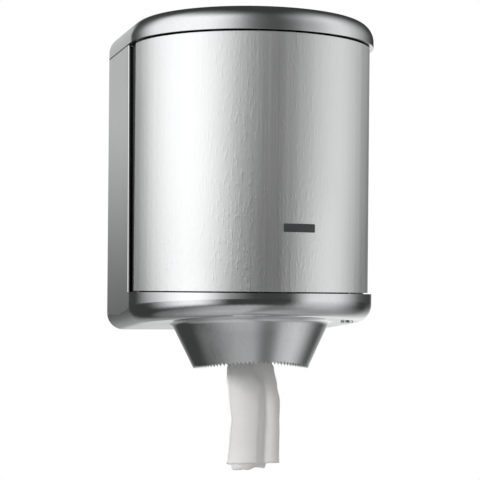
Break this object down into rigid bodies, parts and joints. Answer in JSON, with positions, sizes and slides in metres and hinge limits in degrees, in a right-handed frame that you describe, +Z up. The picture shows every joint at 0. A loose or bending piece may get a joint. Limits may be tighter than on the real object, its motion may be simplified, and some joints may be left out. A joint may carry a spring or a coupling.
{
  "type": "centrefeed roll dispenser",
  "caption": "Wall-mounted steel dispenser for a centrefeed paper roll, with a half-round swinging door, key lock and a toothed funnel below for tearing the paper.",
  "frame": {"origin": "centre of the four wall screw holes on the rear face of the back panel", "axes": "+Z up, +Y into the wall along the screws, the door faces -Y and +X is to the right seen from the front"},
  "size_m": [0.255, 0.2465, 0.4631],
  "materials": {
    "brushed_steel": "vertical brushed grain",
    "satin_steel": "fine satin",
    "inner_steel": "plain rolled sheet",
    "bright_steel": "plated",
    "bronze": "sintered bronze",
    "black_rubber": "matt",
    "white_plastic": "moulded",
    "badge_enamel": "satin dark grey",
    "paper": "soft tissue"
  },
  "bodies": {
    "housing": {"rear_casing": "satin_steel", "lid": "satin_steel", "tray": "satin_steel", "funnel": "satin_steel", "roll_shelf": "inner_steel", "shelf_bracket_left": "inner_steel", "shelf_bracket_right": "inner_steel", "shelf_posts": "inner_steel", "hinge_plate_lower": "inner_steel", "hinge_plate_upper": "inner_steel", "latch_post": "inner_steel", "lid_rivets": "bright_steel", "nozzle_studs": "bright_steel", "nozzle_nuts": "bright_steel", "shelf_screws": "bright_steel", "shelf_nuts": "bright_steel", "hinge_pin_lower": "bright_steel", "hinge_pin_upper": "bright_steel", "lock_housing": "bright_steel", "lock_nut": "bright_steel", "lid_gasket": "black_rubber", "door_bumpers": "black_rubber", "hinge_side_seal": "black_rubber", "paper_nozzle": "white_plastic", "paper_roll": "paper", "paper_tail": "paper"},
    "door": {"door_skin": "brushed_steel", "door_bottom_rib": "inner_steel", "door_top_rib": "inner_steel", "door_hinge_stile": "inner_steel", "door_latch_stile": "inner_steel", "badge_plate": "badge_enamel", "hinge_bush_lower": "bronze", "hinge_bush_upper": "bronze", "latch_keeper": "inner_steel", "keeper_rivets": "bright_steel"},
    "lock": {"lock_barrel": "bright_steel", "lock_hook": "bright_steel", "lock_hook_screw": "bright_steel"}
  },
  "joints": [
    {"name": "door_swing", "type": "hinge", "parent": "housing", "child": "door", "pos_m": [-0.1175, -0.13, 0], "axis": [0, 0, -1], "range_deg": [0, 105]},
    {"name": "lock_turn", "type": "hinge", "parent": "housing", "child": "lock", "pos_m": [0.09216, -0.16555, -0.15517], "axis": [0, 0.0767, 0.9971], "range_deg": [0, 90]}
  ]
}
